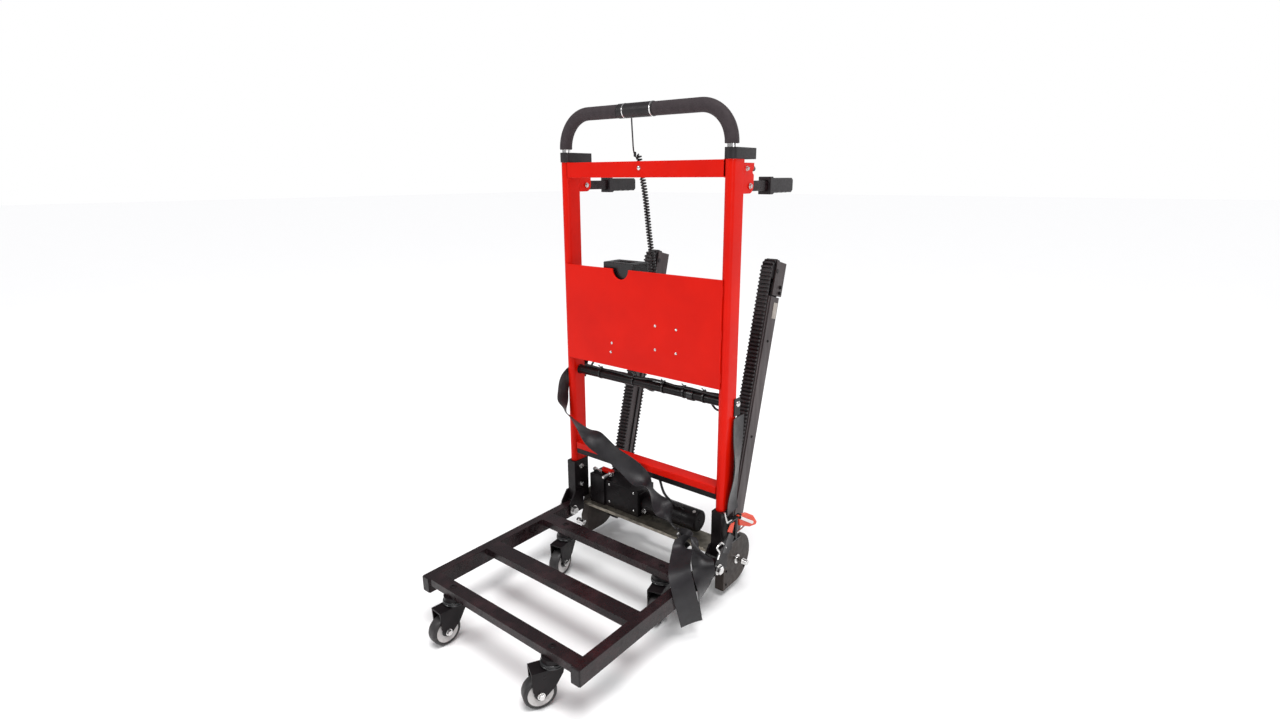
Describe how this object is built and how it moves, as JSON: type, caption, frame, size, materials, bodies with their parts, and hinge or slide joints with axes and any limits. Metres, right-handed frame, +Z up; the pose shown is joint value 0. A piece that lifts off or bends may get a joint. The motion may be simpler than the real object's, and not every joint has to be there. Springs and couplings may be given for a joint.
{
  "type": "stair-climbing hand truck",
  "caption": "Powered stair-climbing hand truck: red upright frame with a bow handle, leaning rubber tracks behind and a low load platform on swivel castors in front.",
  "frame": {"origin": "middle of the footprint, on the floor", "axes": "+X to the right seen from the load platform side, +Y to the rear towards the tracks, +Z up"},
  "size_m": [0.5957, 0.9596, 1.2725],
  "materials": {
    "red_extrusion": "gloss",
    "red_sheet": "gloss",
    "black_paint": "satin",
    "black_casting": "satin",
    "brown_black_cover": "satin",
    "brown_black_steel": "satin",
    "grey_aluminium": "satin",
    "bright_steel": "polished",
    "dark_plastic": "satin",
    "black_plastic": "satin",
    "foam": "matte",
    "belt_rubber": "matte",
    "caster_tyre": "matte",
    "orange_plastic": "satin",
    "webbing": "satin",
    "cord_rubber": "satin"
  },
  "bodies": {
    "frame": {"left_upright": "red_extrusion", "right_upright": "red_extrusion", "left_collar": "dark_plastic", "right_collar": "dark_plastic", "top_rail": "red_sheet", "lower_rail": "red_sheet", "base_crossbar": "black_paint", "cable_tube": "black_paint", "front_panel": "red_sheet", "left_socket": "black_paint", "right_socket": "black_paint", "left_side_casing": "brown_black_cover", "right_side_casing": "brown_black_cover", "base_tray": "grey_aluminium", "gearbox": "black_casting", "motor": "black_paint", "control_box": "black_paint", "left_grip_bracket": "red_sheet", "right_grip_bracket": "red_sheet", "ratchet_frame": "bright_steel", "strap_front": "webbing", "strap_side": "webbing", "strap_fold": "webbing", "coiled_cord": "cord_rubber"},
    "handle": {"handle_tube": "bright_steel", "left_foam_grip": "foam", "right_foam_grip": "foam", "switch_housing": "dark_plastic", "control_lead": "cord_rubber"},
    "rocker": {"rocker_switch": "black_plastic"},
    "battery": {"battery_pack": "dark_plastic"},
    "drive": {"drive_axle": "bright_steel", "left_sprocket": "dark_plastic", "right_sprocket": "dark_plastic"},
    "platform": {"platform_frame": "brown_black_steel", "strap_tail": "webbing"},
    "lever": {"release_lever": "bright_steel"},
    "ratchet": {"ratchet_handle": "orange_plastic"},
    "left_track": {"left_belt": "belt_rubber", "left_track_beam": "grey_aluminium", "left_tensioner": "grey_aluminium"},
    "left_idler_wheel": {"left_idler": "dark_plastic"},
    "left_grip": {"left_grip_arm": "brown_black_steel", "left_grip_sleeve": "dark_plastic"},
    "left_plunger": {"left_lock_plunger": "black_plastic"},
    "right_track": {"right_belt": "belt_rubber", "right_track_beam": "grey_aluminium", "right_tensioner": "grey_aluminium"},
    "right_idler_wheel": {"right_idler": "dark_plastic"},
    "right_grip": {"right_grip_arm": "brown_black_steel", "right_grip_sleeve": "dark_plastic"},
    "right_plunger": {"right_lock_plunger": "black_plastic"},
    "front_left_fork": {"front_left_caster_fork": "black_paint"},
    "front_left_wheel": {"front_left_caster_wheel": "caster_tyre"},
    "front_right_fork": {"front_right_caster_fork": "black_paint"},
    "front_right_wheel": {"front_right_caster_wheel": "caster_tyre"},
    "rear_left_fork": {"rear_left_caster_fork": "black_paint"},
    "rear_left_wheel": {"rear_left_caster_wheel": "caster_tyre"},
    "rear_right_fork": {"rear_right_caster_fork": "black_paint"},
    "rear_right_wheel": {"rear_right_caster_wheel": "caster_tyre"}
  },
  "joints": [
    {"name": "handle_slide", "type": "slide", "parent": "frame", "child": "handle", "axis": [0, 0, 1], "range_m": [0, 0.25], "deforming": ["coiled_cord"]},
    {"name": "rocker_tilt", "type": "hinge", "parent": "handle", "child": "rocker", "pos_m": [-0.014, 0.1354, 1.255], "axis": [1, 0, 0], "range_deg": [-8, 8], "stiffness_Nm_per_rad": 0.05},
    {"name": "battery_lift", "type": "slide", "parent": "frame", "child": "battery", "axis": [0, 0, 1], "range_m": [0, 0.18]},
    {"name": "drive_spin", "type": "hinge", "parent": "frame", "child": "drive", "pos_m": [0, 0.2314, 0.079], "axis": [1, 0, 0], "continuous": true},
    {"name": "platform_fold", "type": "hinge", "parent": "frame", "child": "platform", "pos_m": [0, 0.0774, 0.121], "axis": [1, 0, 0], "range_deg": [-60, 0]},
    {"name": "lever_turn", "type": "hinge", "parent": "frame", "child": "lever", "pos_m": [-0.158, 0.1594, 0.233], "axis": [0, 0, 1], "range_deg": [-35, 35]},
    {"name": "ratchet_turn", "type": "hinge", "parent": "frame", "child": "ratchet", "pos_m": [0.286, 0.1454, 0.212], "axis": [0, 0, 1], "range_deg": [-100, 0]},
    {"name": "left_track_tilt", "type": "hinge", "parent": "frame", "child": "left_track", "pos_m": [-0.203, 0.2314, 0.079], "axis": [1, 0, 0], "range_deg": [0, 12]},
    {"name": "left_idler_spin", "type": "hinge", "parent": "left_track", "child": "left_idler_wheel", "pos_m": [-0.203, 0.42955, 0.84684], "axis": [1, 0, 0], "continuous": true},
    {"name": "left_grip_fold", "type": "hinge", "parent": "frame", "child": "left_grip", "pos_m": [-0.259, 0.1754, 1.076], "axis": [1, 0, 0], "range_deg": [-90, 0]},
    {"name": "left_plunger_pull", "type": "slide", "parent": "frame", "child": "left_plunger", "axis": [0, 1, 0], "range_m": [0, 0.01], "stiffness_N_per_m": 400},
    {"name": "right_track_tilt", "type": "hinge", "parent": "frame", "child": "right_track", "pos_m": [0.203, 0.2314, 0.079], "axis": [1, 0, 0], "range_deg": [0, 12]},
    {"name": "right_idler_spin", "type": "hinge", "parent": "right_track", "child": "right_idler_wheel", "pos_m": [0.203, 0.42955, 0.84684], "axis": [1, 0, 0], "continuous": true},
    {"name": "right_grip_fold", "type": "hinge", "parent": "frame", "child": "right_grip", "pos_m": [0.259, 0.1754, 1.076], "axis": [1, 0, 0], "range_deg": [-90, 0]},
    {"name": "right_plunger_pull", "type": "slide", "parent": "frame", "child": "right_plunger", "axis": [0, 1, 0], "range_m": [0, 0.01], "stiffness_N_per_m": 400},
    {"name": "front_left_swivel", "type": "hinge", "parent": "platform", "child": "front_left_fork", "pos_m": [-0.172, -0.4086, 0.095], "axis": [0, 0, 1], "continuous": true},
    {"name": "front_left_spin", "type": "hinge", "parent": "front_left_fork", "child": "front_left_wheel", "pos_m": [-0.1743, -0.44152, 0.0375], "axis": [-0.9976, 0.0698, 0], "continuous": true},
    {"name": "front_right_swivel", "type": "hinge", "parent": "platform", "child": "front_right_fork", "pos_m": [0.172, -0.4086, 0.095], "axis": [0, 0, 1], "continuous": true},
    {"name": "front_right_spin", "type": "hinge", "parent": "front_right_fork", "child": "front_right_wheel", "pos_m": [0.15651, -0.43774, 0.0375], "axis": [-0.8829, 0.4695, 0], "continuous": true},
    {"name": "rear_left_swivel", "type": "hinge", "parent": "platform", "child": "rear_left_fork", "pos_m": [-0.172, -0.0231, 0.095], "axis": [0, 0, 1], "continuous": true},
    {"name": "rear_left_spin", "type": "hinge", "parent": "rear_left_fork", "child": "rear_left_wheel", "pos_m": [-0.16627, -0.0556, 0.0375], "axis": [-0.9848, -0.1736, 0], "continuous": true},
    {"name": "rear_right_swivel", "type": "hinge", "parent": "platform", "child": "rear_right_fork", "pos_m": [0.172, -0.0231, 0.095], "axis": [0, 0, 1], "continuous": true},
    {"name": "rear_right_spin", "type": "hinge", "parent": "rear_right_fork", "child": "rear_right_wheel", "pos_m": [0.1811, -0.05482, 0.0375], "axis": [-0.9613, -0.2756, 0], "continuous": true}
  ],
  "couplings": [
    {"joint": "right_track_tilt", "follows": "left_track_tilt", "ratio": 1},
    {"joint": "left_idler_spin", "follows": "drive_spin", "ratio": 1},
    {"joint": "right_idler_spin", "follows": "drive_spin", "ratio": 1}
  ]
}
